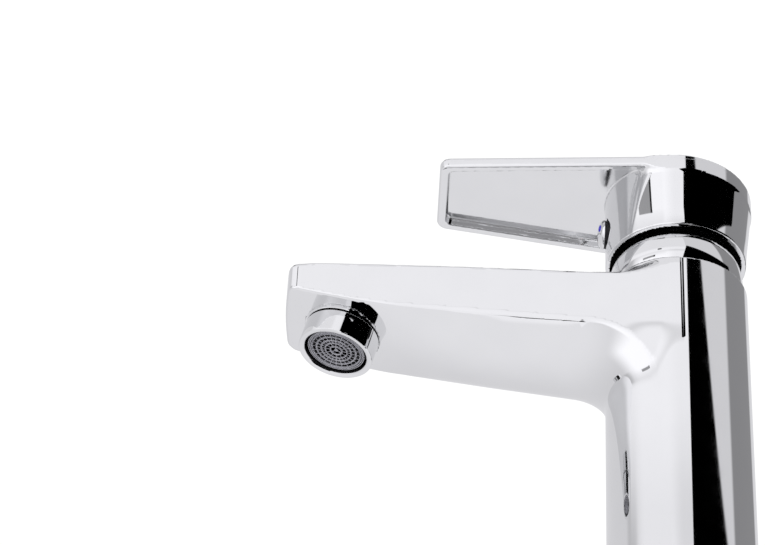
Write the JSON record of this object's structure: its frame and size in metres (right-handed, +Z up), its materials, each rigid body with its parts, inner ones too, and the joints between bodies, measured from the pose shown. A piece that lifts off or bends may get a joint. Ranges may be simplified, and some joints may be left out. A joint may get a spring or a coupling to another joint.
{
  "type": "bathroom mixer faucet",
  "caption": "Single-lever basin mixer: round column, wedge-shaped spout with a tilted round aerator, flat recessed lever on a swivelling base, ceramic-disc cartridge and deck fixing set.",
  "frame": {"origin": "on the deck surface, on the axis of the round column, where the faucet is clamped", "axes": "+Z up along the column; the spout and the lever point along -Y; +X is to the right of someone facing the spout"},
  "size_m": [0.055, 0.1621, 0.2291],
  "materials": {
    "chrome": "mirror-polished chrome plate",
    "white_plastic": "moulded acetal, satin",
    "grey_plastic": "moulded plastic, satin",
    "black_plastic": "moulded plastic, satin black",
    "rubber": "matte rubber",
    "ceramic": "lapped alumina ceramic",
    "steel": "turned stainless steel",
    "brass": "machined brass",
    "zinc_plated_steel": "zinc-plated steel",
    "red_mark": "gloss plastic",
    "blue_mark": "gloss plastic"
  },
  "bodies": {
    "body": {"body_casting": "chrome", "aerator_housing": "chrome", "aerator_insert": "black_plastic", "aerator_grille": "grey_plastic", "aerator_gasket": "rubber", "cartridge_base": "white_plastic", "inlet_seal_left": "rubber", "inlet_seal_right": "rubber", "outlet_seal": "rubber", "cartridge_housing": "white_plastic", "fixed_ceramic_disc": "ceramic", "cartridge_nut": "brass", "dome_cap": "chrome", "base_gasket": "rubber", "mounting_stud": "zinc_plated_steel"},
    "swivel": {"swivel_collar": "white_plastic", "spindle_pin": "steel"},
    "lever": {"handle": "chrome", "index_plug": "chrome", "red_dot": "red_mark", "blue_dot": "blue_mark", "grub_screw": "steel", "spindle": "steel"},
    "disc_slider": {"disc_carrier": "white_plastic", "moving_ceramic_disc": "ceramic"},
    "clamp_set": {"rubber_washer": "rubber", "clamp_plate": "zinc_plated_steel", "mounting_nut": "brass"}
  },
  "joints": [
    {"name": "handle_swivel", "type": "hinge", "parent": "body", "child": "swivel", "pos_m": [0, 0, 0.13], "axis": [0, 0, 1], "range_deg": [-50, 50]},
    {"name": "handle_lift", "type": "hinge", "parent": "swivel", "child": "lever", "pos_m": [0, 0, 0.13], "axis": [-1, 0, 0], "range_deg": [0, 25]},
    {"name": "disc_slide", "type": "slide", "parent": "swivel", "child": "disc_slider", "axis": [0, -1, 0], "range_m": [0, 0.0056]},
    {"name": "clamp_travel", "type": "slide", "parent": "body", "child": "clamp_set", "axis": [0, 0, 1], "range_m": [-0.01, 0.022]}
  ],
  "couplings": [
    {"joint": "disc_slide", "follows": "handle_lift", "m_per_rad": 0.0126}
  ]
}
